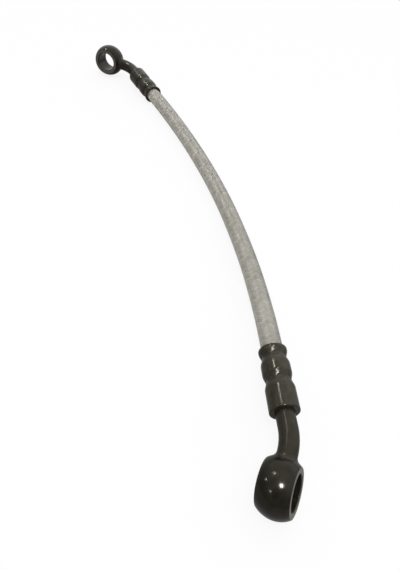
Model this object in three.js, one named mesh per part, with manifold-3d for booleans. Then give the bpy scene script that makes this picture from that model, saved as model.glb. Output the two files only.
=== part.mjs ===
// A short braided hydraulic hose with a banjo fitting crimped on each end, lying as it comes to rest.
// Sizes are in millimetres and degrees, +Z is up, and the origin is at the middle of the part's foot.
// The near fitting is the one at low X and Y, and the far one is the other.

import * as THREE from "three";
import { mergeVertices } from "three/addons/utils/BufferGeometryUtils.js";
import Module from "manifold-3d";

const wasm = await Module();
wasm.setup();

// Hose, from the outside in: a clear cover over a woven steel braid over a smooth liner.
const COVER_D = 7.5;
const COVER_WALL = 0.45;
const BRAID_WALL = 0.45;
const LINER_WALL = 0.75;
const LAYER_GAP = 0.15;
const HOSE_SIDES = 10;
const HOSE_STEP = 2 * COVER_D;

// Centreline of the hose from one cut end to the other. Its first and last two points lie in the
// ferrules, the cut end at one and the ferrule's mouth at the other, so those stretches are straight.
const ROUTE = [
  [-71.85, -75.75, 10.8], [-57.4, -69.05, 9.4], [-45.95, -63.5, 8.35], [-34.7, -57.5, 7.4],
  [-23.65, -51.15, 6.55], [-12.85, -44.35, 5.75], [-2.3, -37.2, 5.1], [8.05, -29.7, 4.6],
  [18.1, -21.85, 4.2], [27.9, -13.65, 3.9], [37.4, -5.1, 3.75], [46.65, 3.7, 3.75],
  [55.6, 12.85, 3.95], [64.25, 22.25, 4.25], [72.6, 31.9, 4.7], [80.65, 41.8, 5.35],
  [90.55, 54.35, 6.25],
];

// Banjo eye: a ball cut flat on two sides and bored through for the bolt.
const EYE_D = 17.0;
const EYE_WIDTH = 10.1;
const BORE_D = 10.2;
const BORE_CHAMFER = 0.35;
const SEAT_EDGE = 0.3;
const SOCKET_DEPTH = 1.2;

// Stem: a bent pipe with a barbed tail for the liner and a groove that the ferrule's lip grips.
const STEM_D = 6.2;
const STEM_BORE = 3.2;
const STEM_STRAIGHT = 4.7;
const STEM_BEND_RADIUS = 14;
const STEM_REACH = 9.1;
const COLLAR_LENGTH = 0.7;
const GROOVE_D = 4.8;
const GROOVE_LENGTH = 2.6;
const SPIGOT_LENGTH = 1.2;
const TAIL_BORE = 1.6;
const TAIL_LENGTH = 14.4;
const BARB_COUNT = 4;
const BARB_HEIGHT = 0.25;
const BARB_RAMP_SHARE = 0.8;
const BARB_LAND_SHARE = 0.1;

// Ferrule: a sleeve squeezed on to the braid in two bands by a ring of dies.
const FERRULE_D = 9.8;
const FERRULE_LENGTH = 22.5;
const FERRULE_EDGE = 0.35;
const MOUTH_LIP = 0.4;
const MOUTH_DEPTH = 1.6;
const BAND_PLACES = [3.4, 12.0];
const BAND_WIDTHS = [5.6, 5.8];
const CRIMP_WALL = 0.9;
const DIE_COUNT = 8;
const DIE_WIDTH = 2.2;
const DIE_BITE = 0.2;

// Clearances between the pieces.
const FIT = 0.2;
const END_GAP = 0.3;
const SPIGOT_FIT = 0.05;

// How each fitting is bent and turned. The bend's clock angle is seen along the hose towards the
// fitting, from straight up. The eye's clock angle is its turn about the stem.
const FITTINGS = [
  { name: "near", end: 0, mouth: 1, bend: 30.4, bendClock: 135.6, eyeClock: -24.2 },
  { name: "far", end: ROUTE.length - 1, mouth: ROUTE.length - 2, bend: 39.4, bendClock: -85.7, eyeClock: 7.5 },
];

// Facets round each turned shape, and steps along each curved one.
const EYE_FACETS = 36;
const SOCKET_FACETS = 32;
const FERRULE_FACETS = 28;
const STEM_FACETS = 16;
const BALL_STEPS = 12;
const BAND_STEPS = 14;
const EDGE_STEPS = 3;
const NECK_STEPS = 10;

// How near two vertices lie to be one, and how far a cutter runs past the face that it cuts.
const SAME_POINT = 1e-5;
const CUTTER_OVERRUN = 1;

// Radii that follow from the driving sizes.
const coverOuter = COVER_D / 2;
const coverInner = coverOuter - COVER_WALL;
const braidOuter = coverInner - LAYER_GAP;
const braidInner = braidOuter - BRAID_WALL;
const linerOuter = braidInner - LAYER_GAP;
const linerInner = linerOuter - LINER_WALL;
const stemRadius = STEM_D / 2;
const tailRadius = linerInner - LAYER_GAP;
const grooveRadius = GROOVE_D / 2;
const gripRadius = Math.max(braidOuter, stemRadius) + FIT;
const bandRadius = gripRadius + CRIMP_WALL;

const steelBlack = { color: 0x3c3932, roughness: 0.32, metalness: 0.85 };
const MATERIALS = {
  eye: steelBlack,
  stem: steelBlack,
  ferrule: steelBlack,
  cover: { color: 0xa5a198, roughness: 0.22, metalness: 0 },
  braid: { color: 0xb9b6af, roughness: 0.35, metalness: 0.9 },
  liner: { color: 0xe8e8e4, roughness: 0.4, metalness: 0 },
};

function radians(degrees) {
  return THREE.MathUtils.degToRad(degrees);
}

// Points of a quarter or other arc, both ends included, as radius and height.
function arc(centreRadius, centreHeight, radius, from, to, pieces) {
  return Array.from({ length: pieces + 1 }, (_, i) => {
    const angle = from + ((to - from) * i) / pieces;
    return [centreRadius + radius * Math.cos(angle), centreHeight + radius * Math.sin(angle)];
  });
}

// A ring turned about Z from a closed outline of radius and height, given anticlockwise.
function turned(outline, facets) {
  const profile = [...outline, outline[0]].map(([radius, height]) => new THREE.Vector2(radius, height));
  return new THREE.LatheGeometry(profile, facets).rotateX(Math.PI / 2);
}

// A round bar along +X from one distance to another.
function barAlongX(radius, from, to, facets) {
  const bar = new THREE.CylinderGeometry(radius, radius, to - from, facets);
  return bar.rotateZ(Math.PI / 2).translate((from + to) / 2, 0, 0);
}

// A pipe of regular section swept along a curve.
function pipe(curve, outer, inner, sides, steps) {
  const ring = (radius) =>
    Array.from({ length: sides }, (_, i) => {
      const angle = (2 * Math.PI * i) / sides;
      return new THREE.Vector2(radius * Math.cos(angle), radius * Math.sin(angle));
    });
  const section = new THREE.Shape(ring(outer));
  section.holes.push(new THREE.Path(ring(inner).reverse()));
  return new THREE.ExtrudeGeometry(section, { steps, extrudePath: curve, curveSegments: 1 });
}

function toSolid(geometry) {
  const bare = geometry.clone();
  bare.deleteAttribute("normal");
  bare.deleteAttribute("uv");
  const merged = mergeVertices(bare, SAME_POINT);
  return new wasm.Manifold(
    new wasm.Mesh({
      numProp: 3,
      vertProperties: new Float32Array(merged.attributes.position.array),
      triVerts: new Uint32Array(merged.index.array),
    }),
  );
}

function toGeometry(solid) {
  const mesh = solid.getMesh();
  const geometry = new THREE.BufferGeometry();
  geometry.setAttribute("position", new THREE.BufferAttribute(mesh.vertProperties, 3));
  geometry.setIndex(new THREE.BufferAttribute(mesh.triVerts, 1));
  geometry.computeVertexNormals();
  return geometry;
}

function piece(name, geometry, material) {
  const mesh = new THREE.Mesh(geometry, new THREE.MeshStandardMaterial(material));
  mesh.name = name;
  return mesh;
}

// A stretch of a longer curve, between two distances along it.
class Stretch extends THREE.Curve {
  constructor(whole, from, to) {
    super();
    this.whole = whole;
    this.from = from / whole.getLength();
    this.to = to / whole.getLength();
  }

  getPoint(t, target = new THREE.Vector3()) {
    return this.whole.getPointAt(this.from + (this.to - this.from) * t, target);
  }
}

// The stem's line in the fitting's frame: up Z, round a bend towards X, and straight to the eye.
class StemLine extends THREE.Curve {
  constructor(start, bendStart, bendAngle, lastStraight) {
    super();
    this.start = start;
    this.lead = bendStart - start;
    this.angle = bendAngle;
    this.turn = STEM_BEND_RADIUS * bendAngle;
    this.last = lastStraight;
  }

  pointAtDistance(distance, target = new THREE.Vector3()) {
    const along = Math.min(distance, this.lead);
    const turned = THREE.MathUtils.clamp(distance - this.lead, 0, this.turn) / STEM_BEND_RADIUS;
    const beyond = Math.max(distance - this.lead - this.turn, 0);
    return target.set(
      STEM_BEND_RADIUS * (1 - Math.cos(turned)) + beyond * Math.sin(this.angle),
      0,
      this.start + along + STEM_BEND_RADIUS * Math.sin(turned) + beyond * Math.cos(this.angle),
    );
  }

  getPoint(t, target = new THREE.Vector3()) {
    return this.pointAtDistance(t * (this.lead + this.turn + this.last), target);
  }
}

// The eye in its own frame: its bore along Z, and the stem arriving from low X.
function eyeSolid(stemEnd) {
  const ball = EYE_D / 2;
  const half = EYE_WIDTH / 2;
  const bore = BORE_D / 2;
  const lean = Math.asin((half - SEAT_EDGE) / ball);
  const seat = ball * Math.cos(lean) - SEAT_EDGE;
  const outline = [
    [bore, half - BORE_CHAMFER],
    [bore, BORE_CHAMFER - half],
    [bore + BORE_CHAMFER, -half],
    [seat, -half],
    ...arc(0, 0, ball, -lean, lean, BALL_STEPS),
    [seat, half],
    [bore + BORE_CHAMFER, half],
  ];
  const ring = toSolid(turned(outline, EYE_FACETS));
  const socketEnd = END_GAP - stemEnd;
  const socket = toSolid(barAlongX(stemRadius + FIT, -ball - CUTTER_OVERRUN, socketEnd, SOCKET_FACETS));
  const port = toSolid(barAlongX(STEM_BORE / 2, -ball, 0, STEM_FACETS));
  return ring.subtract(socket).subtract(port);
}

// The stem's tail and groove, turned about Z. The barbs lean so that the liner slides on, not off.
function tailSolid(shoulder) {
  const tip = shoulder - TAIL_LENGTH;
  const pitch = TAIL_LENGTH / (BARB_COUNT + 0.5);
  const barbs = Array.from({ length: BARB_COUNT }, (_, i) => tip + pitch * i).flatMap((height) => [
    [tailRadius - BARB_HEIGHT, height],
    [tailRadius, height + BARB_RAMP_SHARE * pitch],
    [tailRadius, height + (BARB_RAMP_SHARE + BARB_LAND_SHARE) * pitch],
    [tailRadius - BARB_HEIGHT, height + pitch],
  ]);
  const rootOuter = tailRadius - BARB_HEIGHT;
  const groove = shoulder + COLLAR_LENGTH;
  const spigot = groove + GROOVE_LENGTH + SPIGOT_LENGTH;
  const boreStep = STEM_BORE / 2 + SPIGOT_FIT;
  const outline = [
    [TAIL_BORE / 2, tip],
    ...barbs.filter((point, i) => i === 0 || point[1] > barbs[i - 1][1]),
    [rootOuter, shoulder],
    [stemRadius, shoulder],
    [stemRadius, groove],
    [grooveRadius, groove],
    [grooveRadius, spigot],
    [boreStep, spigot],
    [boreStep, groove],
    [TAIL_BORE / 2, groove - COLLAR_LENGTH / 2],
  ];
  return toSolid(turned(outline, STEM_FACETS));
}

function stemSolid(hoseDepth, bendAngle, lastStraight) {
  const shoulder = hoseDepth + END_GAP;
  const start = shoulder + COLLAR_LENGTH + GROOVE_LENGTH;
  const line = new StemLine(start, FERRULE_LENGTH + STEM_STRAIGHT, bendAngle, lastStraight);
  const neck = toSolid(pipe(line, stemRadius, STEM_BORE / 2, STEM_FACETS, NECK_STEPS));
  return neck.add(tailSolid(shoulder));
}

// The ferrule's outside radius at a height: a plain barrel with a smooth dip to each crimped band.
function ferruleRadius(height) {
  const crown = FERRULE_D / 2;
  return BAND_PLACES.reduce((radius, place, i) => {
    const off = Math.abs(height - place) / (BAND_WIDTHS[i] / 2);
    const share = off < 1 ? Math.cos((off * Math.PI) / 2) ** 2 : 0;
    return radius - (crown - bandRadius) * share;
  }, crown);
}

// The ferrule turned about Z from its mouth at zero, with the dies' flats bitten into each band.
function ferruleSolid(hoseDepth) {
  const edge = FERRULE_EDGE;
  const crown = FERRULE_D / 2;
  const lip = ferruleRadius(MOUTH_LIP);
  const lastBand = BAND_PLACES[1] + BAND_WIDTHS[1] / 2;
  const skin = Array.from({ length: BAND_STEPS + 1 }, (_, i) => {
    const height = MOUTH_LIP + ((lastBand - MOUTH_LIP) * i) / BAND_STEPS;
    return [ferruleRadius(height), height];
  });
  const cavityEnd = hoseDepth + END_GAP + COLLAR_LENGTH + END_GAP;
  const gripEnd = cavityEnd + GROOVE_LENGTH - 2 * END_GAP;
  const outline = [
    [coverOuter + FIT, 0],
    [lip - MOUTH_LIP / 2, 0],
    [lip, MOUTH_LIP / 2],
    ...skin,
    ...arc(crown - edge, FERRULE_LENGTH - edge, edge, 0, Math.PI / 2, EDGE_STEPS),
    [stemRadius + FIT, FERRULE_LENGTH],
    [stemRadius + FIT, gripEnd],
    [grooveRadius + FIT, gripEnd],
    [grooveRadius + FIT, cavityEnd],
    [gripRadius, cavityEnd],
    [gripRadius, MOUTH_DEPTH + END_GAP],
    [coverOuter + FIT, MOUTH_DEPTH],
  ];
  const sleeve = toSolid(turned(outline, FERRULE_FACETS));
  return BAND_PLACES.reduce((solid, place) => solid.subtract(dieRing(place)), sleeve);
}

// A ring of flat die noses that bite into the ferrule round one band.
function dieRing(place) {
  const corner = (bandRadius - DIE_BITE) / Math.cos(Math.PI / DIE_COUNT);
  const half = DIE_WIDTH / 2;
  const outline = [
    [corner, place - half / 2],
    [corner + half, place - half],
    [FERRULE_D, place - half],
    [FERRULE_D, place + half],
    [corner + half, place + half],
    [corner, place + half / 2],
  ];
  return toSolid(turned(outline, DIE_COUNT));
}

// One end fitting, in a frame whose origin is the ferrule's mouth and whose Z points away from the hose.
function fitting({ name, end, mouth, bend, bendClock, eyeClock }) {
  const cutEnd = new THREE.Vector3(...ROUTE[end]);
  const mouthPoint = new THREE.Vector3(...ROUTE[mouth]);
  const hoseDepth = cutEnd.distanceTo(mouthPoint);
  const outward = cutEnd.clone().sub(mouthPoint).normalize();
  const bendWay = new THREE.Vector3(0, 0, 1).projectOnPlane(outward).normalize();
  bendWay.applyAxisAngle(outward, radians(bendClock));
  const side = outward.clone().cross(bendWay);

  const group = new THREE.Group();
  group.applyMatrix4(new THREE.Matrix4().makeBasis(bendWay, side, outward).setPosition(mouthPoint));

  const bendAngle = radians(bend);
  const stemEnd = Math.sqrt((EYE_D / 2) ** 2 - stemRadius ** 2) - SOCKET_DEPTH;
  const line = new StemLine(0, FERRULE_LENGTH + STEM_STRAIGHT, bendAngle, STEM_REACH);
  const eye = piece(`${name}_banjo_eye`, toGeometry(eyeSolid(stemEnd)), MATERIALS.eye);
  const arriving = new THREE.Vector3(Math.sin(bendAngle), 0, Math.cos(bendAngle));
  const boreAxis = new THREE.Vector3(Math.cos(bendAngle), 0, -Math.sin(bendAngle));
  boreAxis.applyAxisAngle(arriving, radians(eyeClock));
  const basis = new THREE.Matrix4().makeBasis(arriving, boreAxis.clone().cross(arriving), boreAxis);
  eye.applyMatrix4(basis.setPosition(line.getPoint(1)));

  const stem = stemSolid(hoseDepth, bendAngle, STEM_REACH - stemEnd);
  group.add(eye);
  group.add(piece(`${name}_stem`, toGeometry(stem), MATERIALS.stem));
  group.add(piece(`${name}_ferrule`, toGeometry(ferruleSolid(hoseDepth)), MATERIALS.ferrule));
  return group;
}

// The hose's layers, each a plain pipe along the route. The cover stops just inside each mouth.
function hose() {
  const route = new THREE.CatmullRomCurve3(
    ROUTE.map((point) => new THREE.Vector3(...point)),
    false,
    "centripetal",
  );
  const length = route.getLength();
  const depth = new THREE.Vector3(...ROUTE[0]).distanceTo(new THREE.Vector3(...ROUTE[1]));
  const bare = depth - MOUTH_DEPTH + END_GAP;
  const layer = (name, outer, inner, trim, material) => {
    const stretch = new Stretch(route, trim, length - trim);
    const steps = Math.round((length - 2 * trim) / HOSE_STEP);
    return piece(name, pipe(stretch, outer, inner, HOSE_SIDES, steps), material);
  };
  const group = new THREE.Group();
  group.add(layer("hose_cover", coverOuter, coverInner, bare, MATERIALS.cover));
  group.add(layer("hose_braid", braidOuter, braidInner, 0, MATERIALS.braid));
  group.add(layer("hose_liner", linerOuter, linerInner, 0, MATERIALS.liner));
  return group;
}

// The whole part, brought to rest on the plane at zero height and centred over the origin.
function assembly() {
  const part = new THREE.Group();
  part.add(hose());
  FITTINGS.forEach((each) => part.add(fitting(each)));
  part.updateMatrixWorld(true);
  const box = new THREE.Box3().setFromObject(part, true);
  const middle = box.getCenter(new THREE.Vector3());
  part.position.set(-middle.x, -middle.y, -box.min.z);
  part.updateMatrixWorld(true);
  return part;
}

export default assembly();
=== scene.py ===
"""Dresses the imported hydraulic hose: plated banjo fittings, a woven wire braid and its clear cover.

Sizes in the classes are millimetres in the row frame, as in the part's own source, and meshes go
into Blender in metres. Every surface is a grid of points that numpy works out from the formula in
its method's docstring.
"""

import logging
import math
from dataclasses import dataclass, field
from enum import Enum
from typing import Any, Sequence

import bpy
import numpy as np
from mathutils import Matrix, Vector


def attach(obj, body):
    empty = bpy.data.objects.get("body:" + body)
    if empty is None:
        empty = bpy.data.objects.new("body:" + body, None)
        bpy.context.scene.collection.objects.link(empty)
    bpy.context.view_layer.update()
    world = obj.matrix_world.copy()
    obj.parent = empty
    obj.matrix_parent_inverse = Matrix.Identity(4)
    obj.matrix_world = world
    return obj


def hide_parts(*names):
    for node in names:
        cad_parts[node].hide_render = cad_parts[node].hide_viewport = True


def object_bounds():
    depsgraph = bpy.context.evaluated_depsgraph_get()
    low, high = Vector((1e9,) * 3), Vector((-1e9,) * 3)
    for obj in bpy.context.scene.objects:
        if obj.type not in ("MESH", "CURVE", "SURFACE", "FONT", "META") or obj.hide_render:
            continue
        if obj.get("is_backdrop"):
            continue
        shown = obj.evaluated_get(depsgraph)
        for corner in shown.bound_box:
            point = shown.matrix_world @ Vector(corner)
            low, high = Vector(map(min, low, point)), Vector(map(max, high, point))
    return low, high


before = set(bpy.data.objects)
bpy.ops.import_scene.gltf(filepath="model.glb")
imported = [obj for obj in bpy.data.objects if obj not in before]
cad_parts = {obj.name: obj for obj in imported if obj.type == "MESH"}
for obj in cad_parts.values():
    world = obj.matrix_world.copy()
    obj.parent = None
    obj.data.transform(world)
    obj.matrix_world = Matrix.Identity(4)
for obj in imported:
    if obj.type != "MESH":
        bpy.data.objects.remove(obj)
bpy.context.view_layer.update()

LOG = logging.getLogger("hydraulic_hose")
METRES = 0.001
BODY = "root"

# The hose's line in metres, as the part's source has it in millimetres. The first and last points
# are the hose's cut ends inside the ferrules, and the second and last but one the ferrules' mouths.
ROUTE = (
    (-0.07185, -0.07575, 0.0108), (-0.0574, -0.06905, 0.0094), (-0.04595, -0.0635, 0.00835),
    (-0.0347, -0.0575, 0.0074), (-0.02365, -0.05115, 0.00655), (-0.01285, -0.04435, 0.00575),
    (-0.0023, -0.0372, 0.0051), (0.00805, -0.0297, 0.0046), (0.0181, -0.02185, 0.0042),
    (0.0279, -0.01365, 0.0039), (0.0374, -0.0051, 0.00375), (0.04665, 0.0037, 0.00375),
    (0.0556, 0.01285, 0.00395), (0.06425, 0.02225, 0.00425), (0.0726, 0.0319, 0.0047),
    (0.08065, 0.0418, 0.00535), (0.09055, 0.05435, 0.00625),
)
# How far the whole part moves to lie centred on its plane.
REST_SHIFT = (-0.000033, 0.000049, 0.000048)

# Lengths in millimetres below which a direction is nought and two points are one.
TINY = 1e-9
TOUCHING = 1e-5

Colour = tuple[float, float, float]
Point = tuple[float, float, float]
Pair = tuple[float, float]
Array = np.ndarray
Object = bpy.types.Object
Material = bpy.types.Material


class End(Enum):
    """The two ends of the hose, as the nodes' names call them."""

    NEAR = "near"
    FAR = "far"


class Lay(Enum):
    """Which way a set of braid wires winds round the hose."""

    RIGHT = 1
    LEFT = -1


# Shader maths and materials.


class Value:
    """A node's output with the arithmetic that shader maths needs."""

    def __init__(self, graph: "Graph", socket: bpy.types.NodeSocket) -> None:
        """Wraps one output socket of a node in the graph."""
        self.graph = graph
        self.socket = socket

    def maths(self, operation: str, *terms: Any) -> "Value":
        """Adds a Math node on the given terms.

        Args:
            operation: The Math node's operation.
            terms: Its inputs in order, numbers or values.

        Returns:
            The node's result.
        """
        return self.graph.out("ShaderNodeMath", {"operation": operation}, dict(enumerate(terms)))

    def __add__(self, other: Any) -> "Value":
        """Sum."""
        return self.maths("ADD", self, other)

    __radd__ = __add__

    def __sub__(self, other: Any) -> "Value":
        """Difference."""
        return self.maths("SUBTRACT", self, other)

    def __rsub__(self, other: Any) -> "Value":
        """Difference, with the value on the right."""
        return self.maths("SUBTRACT", other, self)

    def __mul__(self, other: Any) -> "Value":
        """Product."""
        return self.maths("MULTIPLY", self, other)

    __rmul__ = __mul__

    def between(self, low: float, high: float) -> "Value":
        """A smooth step from nought at low to one at high."""
        settings = {"interpolation_type": "SMOOTHSTEP"}
        return self.graph.out(
            "ShaderNodeMapRange", settings, {"Value": self, "From Min": low, "From Max": high}
        )


class Graph:
    """A node tree and the few calls that fill it."""

    def __init__(self, tree: bpy.types.NodeTree) -> None:
        """Starts from an emptied tree."""
        self.tree = tree
        tree.nodes.clear()

    @classmethod
    def of_material(cls, name: str) -> tuple["Graph", Material]:
        """Makes a material and returns its graph with it."""
        material = bpy.data.materials.new(name)
        material.use_nodes = True
        return cls(material.node_tree), material

    def node(self, kind: str, settings: dict[str, Any] | None = None,
             inputs: dict[int | str, Any] | None = None) -> bpy.types.Node:
        """Makes any node.

        Args:
            kind: The node's Blender type.
            settings: Its properties, which are set first.
            inputs: Its sockets by name or place, each a number, colour, socket or Value.

        Returns:
            The new node.
        """
        made = self.tree.nodes.new(kind)
        for name, value in (settings or {}).items():
            setattr(made, name, value)
        for key, value in (inputs or {}).items():
            source = value.socket if isinstance(value, Value) else value
            if isinstance(source, bpy.types.NodeSocket):
                self.tree.links.new(source, made.inputs[key])
            else:
                made.inputs[key].default_value = source
        return made

    def out(self, kind: str, settings: dict[str, Any] | None = None,
            inputs: dict[int | str, Any] | None = None, output: int | str = 0) -> Value:
        """Makes a node as node() does and returns one of its outputs."""
        return Value(self, self.node(kind, settings, inputs).outputs[output])

    def place(self) -> Value:
        """The point in the row frame, in metres."""
        return self.out("ShaderNodeTexCoord", output="Object")

    def noise(self, grain: float, detail: float = 2.0) -> Value:
        """Cloudy noise between nought and one.

        Args:
            grain: The size of its clouds in millimetres.
            detail: How many finer layers it has.

        Returns:
            The noise's value.
        """
        inputs = {"Vector": self.place(), "Scale": 1.0 / (grain * METRES), "Detail": detail}
        return self.out("ShaderNodeTexNoise", None, inputs)

    def attribute(self, name: str) -> Value:
        """A number stored on the piece's vertices."""
        settings = {"attribute_name": name, "attribute_type": "GEOMETRY"}
        return self.out("ShaderNodeAttribute", settings, output="Fac")

    def tint(self, factor: Value, low: Colour | Value, high: Colour | Value) -> Value:
        """Mixes two colours by a factor."""
        colours = [c if isinstance(c, Value) else (*c, 1.0) for c in (low, high)]
        inputs = {0: factor, 6: colours[0], 7: colours[1]}
        return self.out("ShaderNodeMix", {"data_type": "RGBA"}, inputs, output=2)

    def bump(self, height: Value, depth: float) -> Value:
        """A normal from a height between nought and one, where one stands depth millimetres up."""
        return self.out("ShaderNodeBump", None, {"Height": height, "Distance": depth * METRES})

    def surface(self, shader: Value) -> None:
        """Sends a shader to the tree's output."""
        target = "World" if shader.socket.name == "Background" else "Material"
        self.node(f"ShaderNodeOutput{target}", None, {"Surface": shader})


@dataclass(frozen=True)
class PlatedSteel:
    """Olive-black plated steel: glossy, faintly clouded, and rubbed grey where it is worn."""

    name: str
    colour: Colour
    cloud_colour: Colour
    worn_colour: Colour = (0.125, 0.120, 0.102)
    roughness: float = 0.13
    cloud_roughness: float = 0.20
    worn_roughness: float = 0.36
    shine: float = 0.19
    shine_colour: Colour = (1.0, 0.95, 0.86)
    cloud_grain: float = 2.6
    cloud_span: Pair = (0.36, 0.68)
    wear_grain: float = 0.9
    wear_least: float = 0.72
    wear_noise: float = 0.5
    wear_span: Pair = (0.05, 0.95)
    detail: float = 3.0
    pit_grain: float = 0.30
    pit_depth: float = 0.0010

    def material(self) -> Material:
        """Builds the material. The worn attribute, broken up by noise, mixes in the rubbed steel."""
        graph, material = Graph.of_material(self.name)
        clouds = graph.noise(self.cloud_grain, self.detail).between(*self.cloud_span)
        patches = self.wear_least + self.wear_noise * graph.noise(self.wear_grain, self.detail)
        worn = (graph.attribute("worn") * patches).between(*self.wear_span)
        colour = graph.tint(worn, graph.tint(clouds, self.colour, self.cloud_colour), self.worn_colour)
        gloss = self.roughness + (self.cloud_roughness - self.roughness) * clouds
        roughness = gloss + worn * (self.worn_roughness - gloss)
        pits = graph.noise(self.pit_grain)
        shader = graph.out("ShaderNodeBsdfPrincipled", None, {
            "Base Color": colour,
            "Roughness": roughness,
            "Specular IOR Level": self.shine,
            "Specular Tint": (*self.shine_colour, 1.0),
            "Normal": graph.bump(pits, self.pit_depth),
        })
        graph.surface(shader)
        return material


EYE_PLATING = PlatedSteel("plated_eye", (0.0115, 0.0098, 0.0058), (0.0185, 0.0165, 0.0110))
STEM_PLATING = PlatedSteel("plated_stem", (0.024, 0.021, 0.0138), (0.031, 0.028, 0.019))
FERRULE_PLATING = PlatedSteel("plated_ferrule", (0.031, 0.028, 0.019), (0.043, 0.040, 0.028))


@dataclass(frozen=True)
class BraidWire:
    """Bright drawn steel wire, each carrier a little lighter or darker than the next, with painted
    shade along each ribbon's edges where the carriers meet.
    """

    name: str = "steel_wire"
    dark: Colour = (0.235, 0.225, 0.198)
    light: Colour = (0.575, 0.563, 0.524)
    metallic: float = 0.45
    roughness: float = 0.50
    tarnish_grain: float = 6.0
    tarnish_span: Pair = (0.35, 0.70)
    tarnish_share: float = 0.20
    tarnish_roughness: float = 0.10

    def material(self) -> Material:
        """Builds the material from the shade attribute, each carrier's own tone with painted shade at
        the ribbon's edges, and a cloudy tarnish.
        """
        graph, material = Graph.of_material(self.name)
        tarnish = graph.noise(self.tarnish_grain).between(*self.tarnish_span)
        share = self.tarnish_share
        # the shade attribute is each carrier's random tone, darkened at the ribbon's edges as painted
        # shade between carriers
        shade = (1.0 - share) * graph.attribute("shade") + share * tarnish
        shader = graph.out("ShaderNodeBsdfPrincipled", None, {
            "Base Color": graph.tint(shade, self.dark, self.light),
            "Metallic": self.metallic,
            "Roughness": self.roughness + self.tarnish_roughness * tarnish,
        })
        graph.surface(shader)
        return material


@dataclass(frozen=True)
class ClearCover:
    """Clear soft plastic that lets lamps through to the braid, faintly wavy and a little smoky."""

    name: str = "clear_plastic"
    colour: Colour = (0.93, 0.92, 0.89)
    roughness: float = 0.19
    ior: float = 1.38
    wave_grain: float = 7.0
    wave_depth: float = 0.01

    def material(self) -> Material:
        """Builds the material: refracting plastic, and plain see-through tint for the lamps' rays."""
        graph, material = Graph.of_material(self.name)
        waves = graph.noise(self.wave_grain, 1.0)
        plastic = graph.out("ShaderNodeBsdfPrincipled", None, {
            "Base Color": (*self.colour, 1.0),
            "Roughness": self.roughness,
            "IOR": self.ior,
            "Transmission Weight": 1.0,
            "Normal": graph.bump(waves, self.wave_depth),
        })
        clear = graph.out("ShaderNodeBsdfTransparent", None, {"Color": (*self.colour, 1.0)})
        lamps = graph.out("ShaderNodeLightPath", output="Is Shadow Ray")
        graph.surface(graph.out("ShaderNodeMixShader", None, {0: lamps, 1: plastic, 2: clear}))
        return material


@dataclass(frozen=True)
class LinerPlastic:
    """Milky slippery plastic of the inner tube."""

    name: str = "milky_liner"
    low: Colour = (0.76, 0.76, 0.73)
    high: Colour = (0.84, 0.84, 0.81)
    cloud_grain: float = 4.0
    roughness: float = 0.30
    cloud_roughness: float = 0.12

    def material(self) -> Material:
        """Builds the material from faint clouds in colour and roughness."""
        graph, material = Graph.of_material(self.name)
        clouds = graph.noise(self.cloud_grain)
        graph.surface(graph.out("ShaderNodeBsdfPrincipled", None, {
            "Base Color": graph.tint(clouds, self.low, self.high),
            "Roughness": self.roughness + self.cloud_roughness * clouds,
        }))
        return material


# Surfaces.


def add_object(name: str, data: bpy.types.ID) -> Object:
    """Puts a new object with this mesh, lamp or camera into the scene."""
    made = bpy.data.objects.new(name, data)
    bpy.context.scene.collection.objects.link(made)
    return made


def grid_faces(rows: int, columns: int, close_rows: bool, close_columns: bool) -> Array:
    """Joins a grid of points into quads.

    Args:
        rows: How many rows of points the grid has.
        columns: How many points a row has.
        close_rows: Whether the last row joins the first.
        close_columns: Whether the last column joins the first.

    Returns:
        Quads as an array of four vertex numbers each, row by row.
    """
    i = np.arange(rows if close_rows else rows - 1)[:, None]
    j = np.arange(columns if close_columns else columns - 1)[None, :]
    low, high = i * columns, ((i + 1) % rows) * columns
    here, there = j, (j + 1) % columns
    return np.stack([low + here, low + there, high + there, high + here], axis=-1).reshape(-1, 4)


def signed_volume(points: Array, faces: Sequence[Array]) -> float:
    """The volume that closed faces hold, negative where they face inwards.

    It is the sum over a fan of triangles of the first corner dotted with the cross product of the
    other two, divided by six.
    """
    total = 0.0
    for group in faces:
        for k in range(1, group.shape[1] - 1):
            a, b, c = points[group[:, 0]], points[group[:, k]], points[group[:, k + 1]]
            total += float(np.einsum("ij,ij->", a, np.cross(b, c))) / 6.0
    return total


def make_piece(name: str, points: Array, faces: Sequence[Array],
               marks: dict[str, Array] | None = None) -> Object:
    """Puts a closed surface into a new object at the origin, with its faces outwards.

    Args:
        name: The piece's name.
        points: Its vertices in millimetres, one to a row.
        faces: Arrays of faces, each with one number of corners.
        marks: Numbers to store on the vertices, by attribute name.

    Returns:
        The new object.
    """
    if signed_volume(points, faces) < 0:
        faces = [group[:, ::-1] for group in faces]
    mesh = bpy.data.meshes.new(name)
    corners = np.concatenate([group.ravel() for group in faces])
    sizes = np.concatenate([np.full(len(group), group.shape[1]) for group in faces])
    mesh.vertices.add(len(points))
    mesh.vertices.foreach_set("co", (points * METRES).astype(np.float32).ravel())
    mesh.loops.add(len(corners))
    mesh.loops.foreach_set("vertex_index", corners.astype(np.int32))
    mesh.polygons.add(len(sizes))
    starts = np.concatenate([[0], np.cumsum(sizes)[:-1]])
    mesh.polygons.foreach_set("loop_start", starts.astype(np.int32))
    mesh.polygons.foreach_set("loop_total", sizes.astype(np.int32))
    mesh.polygons.foreach_set("use_smooth", np.ones(len(sizes), bool))
    mesh.update(calc_edges=True)
    for mark, values in (marks or {}).items():
        data = mesh.attributes.new(mark, "FLOAT", "POINT").data
        data.foreach_set("value", values.astype(np.float32))
    return add_object(name, mesh)


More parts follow.
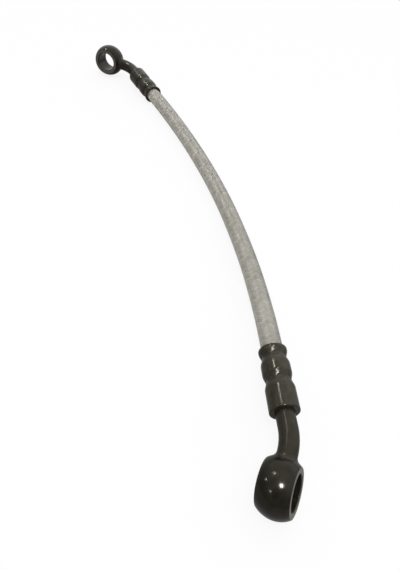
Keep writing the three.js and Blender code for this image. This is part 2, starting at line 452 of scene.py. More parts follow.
def finish_piece(piece: Object, material: Material, slot: str,
                 *nodes: str) -> Object:
    """Dresses a piece, lets it ride on the body and puts it in place of its nodes.

    Args:
        piece: The piece.
        material: Its material.
        slot: The name of the finish's slot, which is not used.
        nodes: The nodes that it stands for.

    Returns:
        The same piece.
    """
    piece.data.materials.append(material)
    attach(piece, BODY)
    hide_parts(*nodes)
    triangles = sum(len(p.vertices) - 2 for p in piece.data.polygons)
    LOG.info("%s: %d triangles, in place of %s", piece.name, triangles, ", ".join(nodes))
    return piece


def smooth_min(a: Array, b: Array, reach: float) -> Array:
    """The lesser of two arrays, rounded where they differ by less than reach."""
    near = np.clip(0.5 + 0.5 * (b - a) / reach, 0.0, 1.0)
    return b + (a - b) * near - reach * near * (1.0 - near)


def rounded(corners: Sequence[tuple[float, float, float]], pieces: int = 5) -> Array:
    """A closed outline whose corners are rounded by arcs.

    Each corner is a distance, a height and a radius. Its arc touches both sides at radius times the
    tangent of half the turn from the corner, and runs between the two touching points as the
    corner's bisector turns, on a circle of that radius.

    Args:
        corners: The corners in order, each with its radius, which may be nought.
        pieces: How many chords an arc has.

    Returns:
        The outline's points, one to a row, without doubles.
    """
    data = np.array(corners, float)
    here, radius = data[:, :2], data[:, 2]
    back = np.roll(here, 1, axis=0) - here
    ahead = np.roll(here, -1, axis=0) - here
    back /= np.linalg.norm(back, axis=1, keepdims=True)
    ahead /= np.linalg.norm(ahead, axis=1, keepdims=True)
    half_turn = 0.5 * (np.pi - np.arccos(np.clip((back * ahead).sum(1), -1.0, 1.0)))
    start = here + back * (radius * np.tan(half_turn))[:, None]
    end = here + ahead * (radius * np.tan(half_turn))[:, None]
    way = back + ahead
    length = np.linalg.norm(way, axis=1, keepdims=True)
    bisector = np.divide(way, length, out=np.zeros_like(way), where=length > TINY)
    centre = here + bisector * (radius / np.cos(half_turn))[:, None]
    share = np.linspace(0.0, 1.0, pieces + 1)[None, :, None]
    turn = np.maximum(2.0 * half_turn, TINY)[:, None, None]
    first, last = (start - centre)[:, None, :], (end - centre)[:, None, :]
    arc = (np.sin((1.0 - share) * turn) * first + np.sin(share * turn) * last) / np.sin(turn)
    points = (centre[:, None, :] + arc).reshape(-1, 2)
    apart = np.linalg.norm(points - np.roll(points, 1, axis=0), axis=1) > TOUCHING
    return points[apart]


def around(count: int) -> Array:
    """Evenly spaced angles round a full turn, without the last."""
    return np.arange(count) * (2.0 * np.pi / count)


def turned_about_z(radius: Array, height: Array, angle: Array) -> Array:
    """Points at each angle round Z: radius times its cosine and sine, at the height."""
    x = radius * np.cos(angle)
    return np.stack([x, radius * np.sin(angle), np.broadcast_to(height, x.shape)], axis=-1)


# The hose.


class HoseLine:
    """The hose's centreline: a smooth curve through the route's points, measured along itself.

    It is the cubic spline through the points, with each end's slope along the straight stretch that
    its ferrule holds, and it is measured by adding up short chords.
    """

    def __init__(self, route: Sequence[Point], shift: Point, samples: int = 4000) -> None:
        """Fits the spline.

        Args:
            route: The points in metres.
            shift: What is added to each of them.
            samples: How many chords measure the curve.
        """
        self.points = (np.array(route) + np.array(shift)) / METRES
        chords = np.linalg.norm(np.diff(self.points, axis=0), axis=1)
        self.knots = np.concatenate([[0.0], np.cumsum(chords)])
        self.slopes = self._slopes(chords)
        steps = np.linspace(0.0, self.knots[-1], samples + 1)
        line = self._at(steps)
        run = np.concatenate([[0.0], np.cumsum(np.linalg.norm(np.diff(line, axis=0), axis=1))])
        self.length = float(run[-1])
        self._run, self._steps = run, steps
        self.mouths = (self._run_at(self.knots[1]), self._run_at(self.knots[-2]))

    def _slopes(self, chords: Array) -> Array:
        """Solves for the slopes that make the spline's curvature continuous at each inner point."""
        count = len(self.points)
        pull = np.diff(self.points, axis=0) / chords[:, None]
        system = np.eye(count)
        right = np.zeros((count, 3))
        inner = np.arange(1, count - 1)
        system[inner, inner - 1] = chords[1:]
        system[inner, inner] = 2.0 * (chords[:-1] + chords[1:])
        system[inner, inner + 1] = chords[:-1]
        right[inner] = 3.0 * (chords[1:, None] * pull[:-1] + chords[:-1, None] * pull[1:])
        right[0], right[-1] = pull[0], pull[-1]
        return np.linalg.solve(system, right)

    def _run_at(self, step: float) -> float:
        """The distance along the curve at one value of the spline's own parameter."""
        return float(np.interp(step, self._steps, self._run))

    def _at(self, steps: Array) -> Array:
        """Points of the spline: in each span, the cubic with its two ends' places and slopes."""
        span = np.clip(np.searchsorted(self.knots, steps, side="right") - 1, 0, len(self.knots) - 2)
        width = (self.knots[span + 1] - self.knots[span])[:, None]
        t = (steps - self.knots[span])[:, None] / width
        low, high = self.points[span], self.points[span + 1]
        rise, fall = self.slopes[span] * width, self.slopes[span + 1] * width
        return (low * (1.0 + 2.0 * t) * (1.0 - t) ** 2 + rise * t * (1.0 - t) ** 2
                + high * t ** 2 * (3.0 - 2.0 * t) - fall * t ** 2 * (1.0 - t))

    def at(self, distance: Array) -> Array:
        """Points in millimetres at distances along the curve."""
        flat = np.interp(np.ravel(distance), self._run, self._steps)
        return self._at(flat).reshape(*np.shape(distance), 3)

    def frames(self, distance: Array) -> tuple[Array, Array, Array]:
        """The curve's own frame at distances along it.

        Returns:
            Points, the unit vectors that are upright across the curve, and those that are level.
        """
        step = 0.05  # half the chord that gives the curve's direction
        low = np.clip(distance - step, 0.0, self.length)
        high = np.clip(distance + step, 0.0, self.length)
        forward = self.at(high) - self.at(low)
        forward /= np.linalg.norm(forward, axis=-1, keepdims=True)
        upright = np.array([0.0, 0.0, 1.0]) - forward * forward[..., 2:3]
        upright /= np.linalg.norm(upright, axis=-1, keepdims=True)
        return self.at(distance), upright, np.cross(forward, upright)

    def round_it(self, distance: Array, angle: Array, radius: Array) -> Array:
        """Points about the curve: its own point plus radius times the turned upright."""
        point, upright, level = self.frames(distance)
        return point + radius[..., None] * (
            np.cos(angle)[..., None] * upright + np.sin(angle)[..., None] * level)


@dataclass
class Hose:
    """The clear cover, the woven braid under it and the liner, all along one line."""

    line: HoseLine
    cover_outer: float = 3.75
    cover_wall: float = 0.45
    cover_sink: float = 0.5
    cover_grip: float = 1.3
    cover_ring: float = 1.5
    cover_sides: int = 64
    cover_edge: float = 0.08
    path_points: int = 60
    braid_middle: float = 2.925
    wire: float = 0.18
    wires: int = 5
    underside: float = 0.55
    carriers: int = 10
    lead: float = 10.7
    weave: float = 0.10
    weave_sharpness: float = 1.8
    weave_phase: float = 1.5
    steps_per_crossing: float = 1.5
    braid_turn: float = 0.11
    carrier_shades: Pair = (0.35, 1.0)
    # painted shade at each ribbon's edges: how dark its edge points are made, and how many points at
    # each edge get it
    painted_edge_shade: float = 0.45
    painted_shade_points: tuple[int, int] = (3, 5)

    @property
    def cover_ends(self) -> Pair:
        """Where along the line the cover ends, a little way inside each ferrule's mouth."""
        return self.line.mouths[0] - self.cover_grip, self.line.mouths[1] + self.cover_grip

    def cover(self) -> Object:
        """The clear tube.

        Its wall's closed outline, a rounded oblong of distance and radius, is turned about the line,
        and its long sides are cut into rings so that they follow the curve. The inner side is sunk
        between the wires, as the plastic was poured round them, so that no air lies over them.
        """
        start, end = self.cover_ends
        inner = self.cover_outer - self.cover_wall - self.cover_sink
        rings = int((end - start) / self.cover_ring)
        inside = np.linspace(start, end, rings)[1:-1]
        edge = self.cover_edge
        corners = [(start, inner, edge), (start, self.cover_outer, edge)]
        corners += [(s, self.cover_outer, 0.0) for s in inside]
        corners += [(end, self.cover_outer, edge), (end, inner, edge)]
        corners += [(s, inner, 0.0) for s in inside[::-1]]
        outline = rounded(corners, pieces=3)
        angle = around(self.cover_sides)
        distance = np.repeat(outline[:, :1], len(angle), axis=1)
        radius = np.repeat(outline[:, 1:], len(angle), axis=1)
        points = self.line.round_it(distance, np.broadcast_to(angle, distance.shape), radius)
        faces = grid_faces(len(outline), len(angle), True, True)
        return make_piece("clear_cover_tube", points.reshape(-1, 3), [faces])

    def _weave_height(self, crossing: Array) -> Array:
        """How high a wire of the right-hand lay rides, from one over to minus one under.

        It passes over two and under two: a cosine of four crossings' period, made squarer by a
        hyperbolic tangent. The phase sets where round the hose the wires lie over, and so where its
        two light lines show.
        """
        sharp = self.weave_sharpness
        wave = np.cos(0.5 * np.pi * (crossing + self.weave_phase))
        return np.tanh(sharp * wave) / math.tanh(sharp * math.cos(0.25 * math.pi))

    def _ribbon_outline(self) -> tuple[Array, Array]:
        """The closed section of wires side by side: across the ribbon, and up from its middle.

        Each wire shows the points of its top half at 180, 135, 90 and 45 degrees, the last wire its
        point at nought too, and the underside is flat from edge to edge.
        """
        radius = 0.5 * self.wire
        centres = (np.arange(self.wires) - 0.5 * (self.wires - 1)) * self.wire
        angle = np.radians([180.0, 135.0, 90.0, 45.0])
        across = (centres[:, None] + radius * np.cos(angle)[None, :]).ravel()
        up = np.tile(radius * np.sin(angle), self.wires)
        edge = 0.5 * self.wires * self.wire
        low = -self.underside * radius
        return np.append(across, [edge, edge, -edge]), np.append(up, [0.0, low, low])

    def carriers_of(self, lay: Lay, first: int) -> Object:
        """Every second carrier of one lay, from the first given: closed ribbons of wires.

        A carrier's angle is a full turn per lead, plus its own share of the turn and the braid's
        own. A point across the ribbon goes square to the wires on the hose's surface. The radius is
        the braid's middle, plus the weave's height, plus the section's own height.
        """
        turn = lay.value
        crossing_step = self.lead / (2 * self.carriers)
        count = int(self.line.length / crossing_step * self.steps_per_crossing)
        across, up = self._ribbon_outline()
        spread = 0.5 * self.wires * self.wire
        distance = np.linspace(spread, self.line.length - spread, count + 1)
        slope = math.atan2(2.0 * math.pi * self.braid_middle, self.lead)
        number = np.arange(first, self.carriers, 2)
        d = distance[None, :, None]
        k = number[:, None, None]
        crossing = d / crossing_step
        height = (self._weave_height(crossing + 2 * k) if lay is Lay.RIGHT
                  else -self._weave_height(2 * k - crossing))
        angle = turn * 2.0 * np.pi * d / self.lead + 2.0 * np.pi * k / self.carriers + self.braid_turn
        along = d - turn * across * math.sin(slope)
        angle = angle + across * math.cos(slope) / self.braid_middle
        radius = self.braid_middle + self.weave * height + up
        along = np.broadcast_to(along, radius.shape)
        points = self.line.round_it(along, np.broadcast_to(angle, radius.shape), radius)
        return self._ribbons(f"braid_{lay.name.lower()}_{'odd' if first else 'even'}", points)

    def _ribbons(self, name: str, points: Array) -> Object:
        """Closes each ribbon's side and its two ends, and shades each carrier by its own number.

        The shade is less on the first and last few points across a ribbon: painted shade where one
        carrier dips beside the next.
        """
        many, rows, columns = points.shape[:3]
        size = rows * columns
        start = (np.arange(many) * size)[:, None, None]
        sides = grid_faces(rows, columns, False, True)[None] + start
        caps = np.stack([np.arange(columns)[::-1], np.arange(columns) + size - columns])[None] + start
        shade = np.random.default_rng(many + len(name)).uniform(*self.carrier_shades, many)
        # painted shade: the points at both edges across each ribbon are darkened, as shade where the
        # carriers meet
        inner = np.full(columns, self.painted_edge_shade)
        inner[self.painted_shade_points[0]:-self.painted_shade_points[1]] = 1.0
        faces = [sides.reshape(-1, 4), caps.reshape(-1, columns)]
        shades = np.broadcast_to(shade[:, None, None] * inner, points.shape[:3])
        return make_piece(name, points.reshape(-1, 3), faces, {"shade": shades.ravel()})

    def build(self) -> list[Object]:
        """Makes and dresses the cover, the braid and the liner's own node; returns the braid."""
        wire = BraidWire().material()
        braid = [finish_piece(self.carriers_of(lay, first), wire, "steel_braid", "hose_braid")
                 for lay in Lay for first in (0, 1)]
        cover = finish_piece(self.cover(), ClearCover().material(), "clear_cover", "hose_cover")
        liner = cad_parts["hose_liner"]
        liner.data.materials.clear()
        liner.data.materials.append(LinerPlastic().material())
        start, end = self.cover_ends
        path = self.line.at(np.linspace(start, end, self.path_points)) * METRES
        (end - start) * METRES
        2 * self.cover_outer * METRES
        return braid


# The fittings.


@dataclass
class Fitting:
    """A ferrule, a bent stem and a banjo eye at one end of the hose.

    Its frame has its origin at the ferrule's mouth, Z away from the hose and X the way that the stem
    bends.
    """

    end: End
    line: HoseLine
    bend: float
    bend_clock: float
    eye_clock: float
    ferrule_d: float = 9.8
    ferrule_length: float = 22.5
    ferrule_edge: float = 0.35
    ferrule_sides: int = 192
    mouth_lip: float = 0.4
    mouth_edge: float = 0.3
    mouth_bore: float = 3.95
    mouth_depth: float = 1.6
    hole_edge: float = 0.12
    outer_skin: float = 0.2
    skin_rings: int = 90
    plain_gap: float = 0.4
    plain_end: float = 1.0
    plain_rings: int = 10
    grip_radius: float = 3.35
    band_radius: float = 4.25
    band_places: Pair = (3.4, 12.0)
    band_widths: Pair = (5.6, 5.8)
    dies: int = 8
    die_width: float = 2.2
    die_bite: float = 0.2
    die_round: float = 0.07
    die_wear: float = 0.15
    hose_depth: float = field(init=False)
    fit: float = 0.2
    end_gap: float = 0.3
    stem_d: float = 6.2
    stem_bore: float = 3.2
    stem_gap: float = 0.06
    stem_sides: int = 72
    stem_rings: int = 60
    ring_gaps: Pair = (0.6, 0.3)
    stem_straight: float = 4.7
    bend_radius: float = 14.0
    stem_reach: float = 9.1
    stem_socket: Pair = (0.5, 0.2)
    step_edge: float = 0.1
    braze: float = 1.8
    braze_rings: int = 9
    collar: float = 0.7
    groove_radius: float = 2.4
    groove_length: float = 2.6
    tail_radius: float = 1.65
    tail_bore: float = 0.8
    tail_length: float = 14.4
    barbs: int = 4
    barb_height: float = 0.25
    barb_shares: tuple[float, float, float] = (0.8, 0.9, 0.999)
    barb_edge: float = 0.03
    eye_d: float = 17.0
    eye_width: float = 10.1
    bore_d: float = 10.2
    bore_chamfer: float = 0.35
    bore_edge: float = 0.06
    seat_edge: float = 0.3
    seat_gaps: Pair = (0.2, 0.25)
    seat_rings: int = 4
    seat_wear: float = 0.12
    arc_rings: int = 48
    arc_gap: float = 0.03
    port_cells: tuple[int, int] = (16, 8)
    port_reach: float = 2.3
    port_end: float = 1.0
    port_shares: tuple[float, ...] = (0.4, 0.75, 0.95, 1.0)
    port_depths: tuple[float, ...] = (0.05, 0.5, 1.0)

    def __post_init__(self) -> None:
        """Works out the fitting's frame from the hose's held end."""
        points = self.line.points
        cut, mouth = (points[0], points[1]) if self.end is End.NEAR else (points[-1], points[-2])
        outward = Vector(cut - mouth)
        self.hose_depth = outward.length
        outward.normalize()
        up = Vector((0.0, 0.0, 1.0))
        bend_way = (up - outward * up.dot(outward)).normalized()
        bend_way.rotate(Matrix.Rotation(math.radians(self.bend_clock), 3, outward))
        self.axes = np.array([bend_way, outward.cross(bend_way), outward])
        self.origin = mouth
        self.total = (self.ferrule_length + self.stem_straight
                      + self.bend_radius * math.radians(self.bend) + self.stem_reach)

    def placed(self, local: Array) -> Array:
        """Takes points from the fitting's frame to the row frame."""
        return local @ self.axes + self.origin

    def _turned_piece(self, name: str, local: Array, worn: Array) -> Object:
        """Makes a piece of a grid of points in the fitting's frame that closes both ways."""
        return make_piece(f"{self.end.value}_{name}", self.placed(local).reshape(-1, 3),
                          [grid_faces(*local.shape[:2], True, True)], {"worn": worn.ravel()})

    def stem_point(self, distance: Array) -> tuple[Array, Array]:
        """The stem's line: up Z, round the bend towards X, then straight on.

        Returns:
            Points in the fitting's frame, and the angle turned at each.
        """
        lead = self.ferrule_length + self.stem_straight
        bend = math.radians(self.bend)
        turned = np.clip((distance - lead) / self.bend_radius, 0.0, bend)
        beyond = np.maximum(distance - lead - self.bend_radius * bend, 0.0)
        x = self.bend_radius * (1.0 - np.cos(turned)) + beyond * math.sin(bend)
        z = np.minimum(distance, lead) + self.bend_radius * np.sin(turned) + beyond * math.cos(bend)
        return np.stack([x, np.zeros_like(x), z], axis=-1), turned

    def ferrule_radius(self, height: Array) -> Array:
        """The ferrule's outside: a plain barrel with a squared cosine's dip to each band."""
        crown = 0.5 * self.ferrule_d
        radius = np.full_like(height, crown)
        for place, width in zip(self.band_places, self.band_widths):
            off = np.clip(np.abs(height - place) / (0.5 * width), 0.0, 1.0)
            radius -= (crown - self.band_radius) * np.cos(0.5 * np.pi * off) ** 2
        return radius

    def die_radius(self, height: Array, angle: Array) -> Array:
        """The ring of die noses: a flat of constant distance, over the cosine of the angle off it."""
        pitch = 2.0 * np.pi / self.dies
        off_flat = (angle + 0.5 * pitch) % pitch - 0.5 * pitch
        nose = 0.25 * self.die_width
        flats = [np.maximum(np.abs(height - place) - nose, 0.0) for place in self.band_places]
        flat = self.band_radius - self.die_bite + np.minimum(*flats)
        return flat / np.cos(off_flat)

    def ferrule(self) -> Object:
        """The crimped sleeve, turned about Z.

        Its outline is closed: the mouth, the skin of ferrule_radius, the rounded end, the stem's
        hole, the lip in the stem's groove, and the cavity that holds the hose. Outside, the radius
        is the lesser of the skin's and the dies', rounded where they cross.
        """
        banded = self.band_places[1] + 0.5 * self.band_widths[1]
        skin = np.linspace(self.mouth_lip, banded, self.skin_rings)
        plain_top = self.ferrule_length - self.plain_end
        plain = np.linspace(skin[-1] + self.plain_gap, plain_top, self.plain_rings)
        cavity = self.hose_depth + 2.0 * self.end_gap + self.collar
        lip = cavity + self.groove_length - 2.0 * self.end_gap
        stem_hole = 0.5 * self.stem_d + self.stem_gap
        rim = float(self.ferrule_radius(np.array([0.0]))[0])
        crown = 0.5 * self.ferrule_d
        corners = [(self.mouth_bore, 0.0, self.hole_edge), (rim, 0.0, self.mouth_edge)]
        corners += list(zip(self.ferrule_radius(skin), skin, np.zeros_like(skin)))
        corners += [(crown, h, 0.0) for h in plain]
        corners += [
            (crown, self.ferrule_length, self.ferrule_edge),
            (stem_hole, self.ferrule_length, self.hole_edge),
            (stem_hole, lip, 0.0),
            (self.groove_radius + self.fit, lip, 0.0),
            (self.groove_radius + self.fit, cavity, 0.0),
            (self.grip_radius, cavity, 0.0),
            (self.grip_radius, self.mouth_depth + self.end_gap, 0.0),
            (self.mouth_bore, self.mouth_depth, 0.0),
        ]
        outline = rounded(corners)
        angle = around(self.ferrule_sides)
        radius, height = outline[:, :1], outline[:, 1:]
        outside = (radius > self.mouth_bore + self.outer_skin) & (height < plain_top)
        bitten = smooth_min(radius, self.die_radius(height, angle[None, :]), self.die_round)
        shape = np.where(outside, bitten, radius)
        worn = self.die_wear * (np.clip((radius - shape) / self.die_bite, 0.0, 1.0) * outside)
        return self._turned_piece("crimped_ferrule", turned_about_z(shape, height, angle), worn)

    def stem(self) -> Object:
        """The bent pipe with its barbed tail.

        A closed outline of distance along the stem's line and radius is turned about that line. Near
        the eye the pipe swells into the ball by a fillet that touches both: its circle's centre is
        the fillet's radius outside each.
        """
        shoulder = self.hose_depth + self.end_gap
        groove = shoulder + self.collar
        neck = groove + self.groove_length
        tip = shoulder - self.tail_length
        pitch = self.tail_length / (self.barbs + 0.5)
        root = self.tail_radius - self.barb_height
        pipe, bore = 0.5 * self.stem_d, 0.5 * self.stem_bore
        ball = 0.5 * self.eye_d
        total, braze = self.total, self.braze
        centre = math.sqrt((ball + braze) ** 2 - (pipe + braze) ** 2)
        share = ball / (ball + braze)
        touch = math.atan2(centre * (1.0 - share), (pipe + braze) * (1.0 - share))
        sink, flare = self.stem_socket
        stem_end = total - math.sqrt(ball ** 2 - pipe ** 2) + sink
        rise, top, fall = self.barb_shares
        barb = ((0.0, root, 0.0), (rise, self.tail_radius, self.barb_edge),
                (top, self.tail_radius, self.barb_edge), (fall, root, 0.0))
        corners = [(tip, self.tail_bore, 0.0)]
        corners += [(tip + pitch * (i + place), radius, edge)
                    for i in range(self.barbs) for place, radius, edge in barb]
        corners += [(shoulder, root, 0.0)]
        corners += [(place, radius, self.step_edge) for place, radius in (
            (shoulder, pipe), (groove, pipe), (groove, self.groove_radius),
            (neck, self.groove_radius), (neck, pipe))]
        rings = np.linspace(neck + self.ring_gaps[0], total - centre - self.ring_gaps[1],
                            self.stem_rings)
        corners += [(s, pipe, 0.0) for s in rings]
        corners += [(total - centre - braze * math.sin(a), pipe + braze + braze * math.cos(a), 0.0)
                    for a in np.linspace(math.pi, math.pi + touch, self.braze_rings)]
        corners += [(stem_end, pipe + flare, 0.0), (stem_end, bore, 0.0)]
        corners += [(s, bore, 0.0) for s in rings[::-1]]
        corners += [(neck, bore, 0.0), (shoulder, self.tail_bore, 0.0)]
        outline = rounded(corners, pieces=3)
        angle = around(self.stem_sides)
        points, turned = self.stem_point(outline[:, 0])
        across = np.stack([np.cos(turned), np.zeros_like(turned), -np.sin(turned)], axis=-1)
        radius = outline[:, 1][:, None, None]
        local = points[:, None, :] + radius * (
            np.cos(angle)[None, :, None] * across[:, None, :]
            + np.sin(angle)[None, :, None] * np.array([0.0, 1.0, 0.0]))
        return self._turned_piece("bent_stem", local, np.zeros(local.shape[:2]))

    def eye_axes(self) -> tuple[Array, Array]:
        """The eye's own axes, the stem's way, across and along the bore, and its centre."""
        bend = math.radians(self.bend)
        arriving = Vector((math.sin(bend), 0.0, math.cos(bend)))
        bore = Vector((math.cos(bend), 0.0, -math.sin(bend)))
        bore.rotate(Matrix.Rotation(math.radians(self.eye_clock), 3, arriving))
        centre, _ = self.stem_point(np.array([self.total]))
        return np.array([arriving, bore.cross(arriving), bore]), centre[0]

    def eye(self) -> Object:
        """The banjo eye, turned about its bore, with the fluid's port in the bore's wall.

        Its outline is closed: the bore, a chamfer, the flat seat, the ball's arc, and back. On the
        stem's side a block of cells of the bore's wall is left out. Rings run from the block's edge
        to the port's circle, each ring's points between the edge's and the circle's at the same
        angle, and on along the port to its closed end inside the stem.
        """
        ball, half, bore = 0.5 * self.eye_d, 0.5 * self.eye_width, 0.5 * self.bore_d
        wide, tall = self.port_cells
        port_rows = np.linspace(self.port_reach, -self.port_reach, tall + 1)
        lean = math.asin((half - self.seat_edge) / ball)
        arc = [a for a in np.linspace(-lean, lean, self.arc_rings) if abs(a) < lean - self.arc_gap]
        seat = math.sqrt(ball ** 2 - half ** 2)
        mouth = bore + self.bore_chamfer
        low, high = mouth + self.seat_gaps[0], seat - self.seat_gaps[1]
        corners = [(bore, h, 0.0) for h in port_rows]
        corners += [
            (bore, self.bore_chamfer - half, self.bore_edge),
            (mouth, -half, self.bore_edge),
            *[(r, -half, 0.0) for r in np.linspace(low, high, self.seat_rings)],
            (seat, -half, self.seat_edge),
            *[(ball * math.cos(a), ball * math.sin(a), 0.0) for a in arc],
            (seat, half, self.seat_edge),
            *[(r, half, 0.0) for r in np.linspace(high, low, self.seat_rings)],
            (mouth, half, self.bore_edge),
            (bore, half - self.bore_chamfer, self.bore_edge),
        ]
        outline = rounded(corners, pieces=4)
        first = int(np.argmin(np.linalg.norm(outline - [bore, self.port_reach], axis=1)))
        outline = np.roll(outline, -first, axis=0)
        block = 2.0 * math.asin(self.port_reach / bore)
        columns = int(round(2.0 * math.pi / (block / wide)))
        angle = np.concatenate([
            np.pi + np.linspace(-0.5 * block, 0.5 * block, wide + 1),
            np.pi + np.linspace(0.5 * block, 2.0 * np.pi - 0.5 * block, columns - wide + 1)[1:-1],
        ])
        radius, height = outline[:, :1], outline[:, 1:]
        ring = turned_about_z(radius, height, angle)
        faces = grid_faces(len(outline), columns, True, True).reshape(len(outline), columns, 4)
        keep = np.ones(faces.shape[:2], bool)
        keep[:tall, :wide] = False
        edge = np.concatenate([
            np.arange(wide),
            np.arange(tall) * columns + wide,
            tall * columns + np.arange(wide, 0, -1),
            np.arange(tall, 0, -1) * columns,
        ])
        points = ring.reshape(-1, 3)
        port, port_faces = self._port(points[edge], edge, len(points))
        worn = self._seat_wear(points)
        points = np.concatenate([points, port])
        axes, centre = self.eye_axes()
        return make_piece(
            f"{self.end.value}_eye_ring", self.placed(points @ axes + centre),
            [faces[keep], *port_faces], {"worn": np.append(worn, np.zeros(len(port)))},
        )

    def _port(self, rim: Array, edge: Array, first: int) -> tuple[Array, list[Array]]:
        """The rings from the block's edge into the port, and the cap at its end.

        Args:
            rim: The points of the block's edge in the eye's frame.
            edge: Their vertex numbers.
            first: The number that the first new vertex gets.

        Returns:
            The new points, and the faces that join them.
        """
        bore, port = 0.5 * self.bore_d, 0.5 * self.stem_bore
        around_port = np.arctan2(rim[:, 2], rim[:, 1])
        circle = port * np.stack([np.cos(around_port), np.sin(around_port)], axis=-1)
        share = np.array(self.port_shares)[:, None, None]
        flat = rim[None, :, 1:] * (1.0 - share) + circle[None] * share
        wall = -np.sqrt(bore ** 2 - flat[..., :1] ** 2)
        depth = np.array(self.port_depths)[:, None, None]
        deep = wall[-1:] * (1.0 - depth) + depth * -(0.5 * self.eye_d - self.port_end)
        tube = np.concatenate([deep, np.broadcast_to(circle, (len(depth), *circle.shape))], axis=-1)
        rings = np.concatenate([np.concatenate([wall, flat], axis=-1), tube])
        count = len(edge)
        rows = np.concatenate([edge[None], first + np.arange(rings[..., 0].size).reshape(-1, count)])
        here, there = rows[:-1], rows[1:]
        quads = np.stack([here, np.roll(here, -1, 1), np.roll(there, -1, 1), there], axis=-1)
        return rings.reshape(-1, 3), [quads.reshape(-1, 4), rows[-1][None]]

    def _seat_wear(self, points: Array) -> Array:
        """How worn each point is: the flat seats most, fading over their edges."""
        half = 0.5 * self.eye_width
        return np.clip(1.0 - (half - np.abs(points[:, 2])) / self.seat_wear, 0.0, 1.0)

    def build(self, eye: Material, stem: Material,
              ferrule: Material) -> list[Object]:
        """Makes and dresses the eye, the stem and the ferrule, and returns them in that order."""
        end = self.end.value
        return [
            finish_piece(self.eye(), eye, "black_plated_eye", f"{end}_banjo_eye"),
            finish_piece(self.stem(), stem, "black_plated_stem", f"{end}_stem"),
            finish_piece(self.ferrule(), ferrule, "black_plated_ferrule", f"{end}_ferrule"),
        ]


# The studio.


@dataclass(frozen=True)
class Lamp:
    """A round or long lamp.

    It has the way to it, the angle in degrees that it fills, its radiance, how many times as long as
    wide it is along the level, and its distance in metres. As a gleam it only shows in the gloss of
    its own pieces, unless it is soft: then it lights them as well.
    """

    name: str
    way: Point
    angle: float
    radiance: float
    stretch: float = 1.0
    soft: bool = False
    distance: float = 1.2

    def light(self) -> Object:
        """Makes the lamp, facing the object. Its power is pi times its radiance times its area."""
        width = 2.0 * self.distance * math.tan(math.radians(0.5 * self.angle))
        length = width * self.stretch
        lamp = bpy.data.lights.new(self.name, "AREA")
        lamp.shape = "ELLIPSE"
        lamp.size, lamp.size_y = length, width
        lamp.energy = math.pi * self.radiance * math.pi * 0.25 * length * width
        holder = add_object(self.name, lamp)
        way = Vector(self.way).normalized()
        holder.location = way * self.distance
        holder.rotation_euler = way.to_track_quat("Z", "Y").to_euler()
        return holder


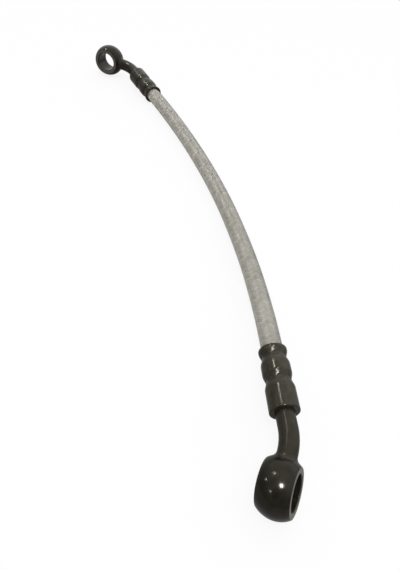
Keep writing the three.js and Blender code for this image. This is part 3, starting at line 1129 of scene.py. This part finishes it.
@dataclass(frozen=True)
class Studio:
    """The camera, the lamps, the floor and the pale room.

    The ceiling lamp lights everything and shows in no gloss. The gleams are linked to single pieces.
    The object is lit by the sky, from low_sky to high_sky, and by a floor of floor_bounce. The
    camera and clear plastic see a pale grey room and a glowing floor instead, and gloss sees a
    mixture that has gloss_share of those.
    """

    eye: Point = (-0.140609, -0.068149, 0.144095)
    aim: Point = (-0.024726, -0.034308, 0.005048)
    roll: float = 6.164
    lens: float = 28.599
    sensor: float = 36.0
    shift: tuple[float, float] = (-0.018676, -0.042528)
    floor_size: float = 3.0
    floor_grey: float = 0.88
    floor_bounce: float = 0.34
    floor_glow: float = 0.88
    gloss_share: float = 0.15
    low_sky: float = 0.22
    high_sky: float = 1.75
    sky_way: Point = (0.70, -0.10, 0.70)
    sky_span: Pair = (-0.15, 1.0)
    ceiling: Lamp = Lamp("ceiling_lamp", (-0.249, -0.071, 0.966), 18.0, 11.0)
    wire_gleams: tuple[Lamp, ...] = (
        Lamp("wire_gleam", (-0.15, -0.17, 0.975), 28.0, 5.8),
        Lamp("wire_side_lamp", (-0.62, 0.62, 0.48), 45.0, 2.2, soft=True),
    )
    back_gleams: tuple[Lamp, ...] = (Lamp("back_gleam", (0.35, 0.52, 0.78), 7.0, 40.0),)
    strip_gleams: tuple[Lamp, ...] = (Lamp("strip_gleam", (0.09, 0.50, 0.855), 4.5, 10.0, 7.0),)
    round_gleams: tuple[Lamp, ...] = (
        Lamp("ceiling_gleam", (-0.240, -0.050, 0.969), 11.5, 140.0),
        Lamp("left_gleam", (-0.118, 0.852, 0.510), 5.0, 45.0),
        Lamp("low_gleam", (-0.666, 0.454, 0.592), 5.0, 45.0),
    )
    crimp_gleams: tuple[Lamp, ...] = (
        Lamp("mouth_gleam", (0.18, 0.0, 0.984), 8.0, 45.0),
        Lamp("arm_gleam", (-0.12, 0.14, 0.983), 4.0, 90.0, 3.0),
    )
    far_gleams: tuple[Lamp, ...] = (
        Lamp("far_left_gleam", (0.36, 0.67, 0.65), 4.5, 32.0),
        Lamp("far_top_gleam", (0.0, 0.31, 0.95), 7.0, 70.0),
    )

    def camera(self) -> None:
        """Makes the camera: it looks from eye to aim, then turns about its own axis by roll."""
        data = bpy.data.cameras.new("camera")
        data.lens, data.sensor_width = self.lens, self.sensor
        data.shift_x, data.shift_y = self.shift
        data.clip_start = 0.01
        holder = add_object("camera", data)
        look = (Vector(self.aim) - Vector(self.eye)).to_track_quat("-Z", "Y").to_matrix()
        turned = look @ Matrix.Rotation(math.radians(self.roll), 3, "Z")
        holder.matrix_world = Matrix.Translation(self.eye) @ turned.to_4x4()
        bpy.context.scene.camera = holder

    def seen_straight(self, graph: Graph) -> Value:
        """One for rays from the camera and through clear plastic, less for gloss, else nought."""
        camera, gloss, clear = (
            graph.out("ShaderNodeLightPath", output=f"Is {kind} Ray")
            for kind in ("Camera", "Glossy", "Transmission"))
        seen = camera.maths("MAXIMUM", camera, self.gloss_share * gloss)
        return seen.maths("MAXIMUM", seen, clear)

    def world(self) -> None:
        """A pale room to the camera, and elsewhere a soft light, brighter on the sky's way.

        The background keeps its node's own colour of 0.8, so a level of one shows pale grey.
        """
        world = bpy.data.worlds.new("white_room")
        bpy.context.scene.world = world
        world.use_nodes = True
        graph = Graph(world.node_tree)
        way = graph.out("ShaderNodeTexCoord", output="Generated")
        towards = graph.out("ShaderNodeVectorMath", {"operation": "DOT_PRODUCT"},
                            {0: way, 1: Vector(self.sky_way).normalized()}, output="Value")
        sky = self.low_sky + (self.high_sky - self.low_sky) * towards.between(*self.sky_span)
        seen = self.seen_straight(graph)
        level = sky + seen * (1.0 - sky)
        graph.surface(graph.out("ShaderNodeBackground", None, {"Strength": level}))

    def floor(self, height: float) -> None:
        """A pale floor that glows white to the camera and keeps part of the object's shadow."""
        half = 0.5 * self.floor_size
        corners = [(x * half, y * half, height) for x, y in ((-1, -1), (1, -1), (1, 1), (-1, 1))]
        mesh = bpy.data.meshes.new("floor")
        mesh.from_pydata(corners, [], [(0, 1, 2, 3)])
        plane = add_object("floor", mesh)
        graph, material = Graph.of_material("pale_floor")
        seen = self.seen_straight(graph)
        colour = graph.tint(seen, (self.floor_bounce,) * 3, (self.floor_grey,) * 3)
        paint = graph.out("ShaderNodeBsdfDiffuse", None, {"Color": colour})
        glow = graph.out("ShaderNodeEmission", None, {"Color": (1.0, 1.0, 1.0, 1.0), "Strength": 1.0})
        share = seen * self.floor_glow
        graph.surface(graph.out("ShaderNodeMixShader", None, {0: share, 1: paint, 2: glow}))
        mesh.materials.append(material)
        plane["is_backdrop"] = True

    def build(self) -> None:
        """Makes the camera, the ceiling lamp and the world, and sets the plain view transform."""
        self.camera()
        self.world()
        self.ceiling.light().visible_glossy = False
        bpy.context.scene.view_settings.view_transform = "Standard"

    @staticmethod
    def gleam(lamps: Sequence[Lamp], *pieces: Object) -> None:
        """Makes lamps that only light the given pieces, and only their gloss unless they are soft."""
        glossy = bpy.data.collections.new(f"lit_by_{lamps[0].name}")
        for piece in pieces:
            glossy.objects.link(piece)
        for lamp in lamps:
            holder = lamp.light()
            holder.visible_diffuse = lamp.soft
            holder.light_linking.receiver_collection = glossy


def main() -> None:
    """Builds the studio, the hose and both fittings."""
    logging.basicConfig(level=logging.INFO, format="%(name)s: %(message)s")
    studio = Studio()
    studio.build()
    line = HoseLine(ROUTE, REST_SHIFT)
    LOG.info("hose line: %.1f mm, mouths at %.1f and %.1f mm", line.length, *line.mouths)
    studio.gleam(studio.wire_gleams, *Hose(line).build())
    finishes = [plating.material() for plating in (EYE_PLATING, STEM_PLATING, FERRULE_PLATING)]
    near = Fitting(End.NEAR, line, bend=30.4, bend_clock=135.6, eye_clock=-24.2).build(*finishes)
    far = Fitting(End.FAR, line, bend=39.4, bend_clock=-85.7, eye_clock=7.5).build(*finishes)
    eye, stem, ferrule = near
    studio.gleam(studio.back_gleams, *near, *far)
    studio.gleam(studio.strip_gleams, stem, ferrule)
    studio.gleam(studio.round_gleams, eye, ferrule)
    studio.gleam(studio.crimp_gleams, ferrule)
    studio.gleam(studio.far_gleams, far[-1])
    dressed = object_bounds()
    studio.floor(min(dressed[0][2], 0.0))


if __name__ == "__main__":
    main()
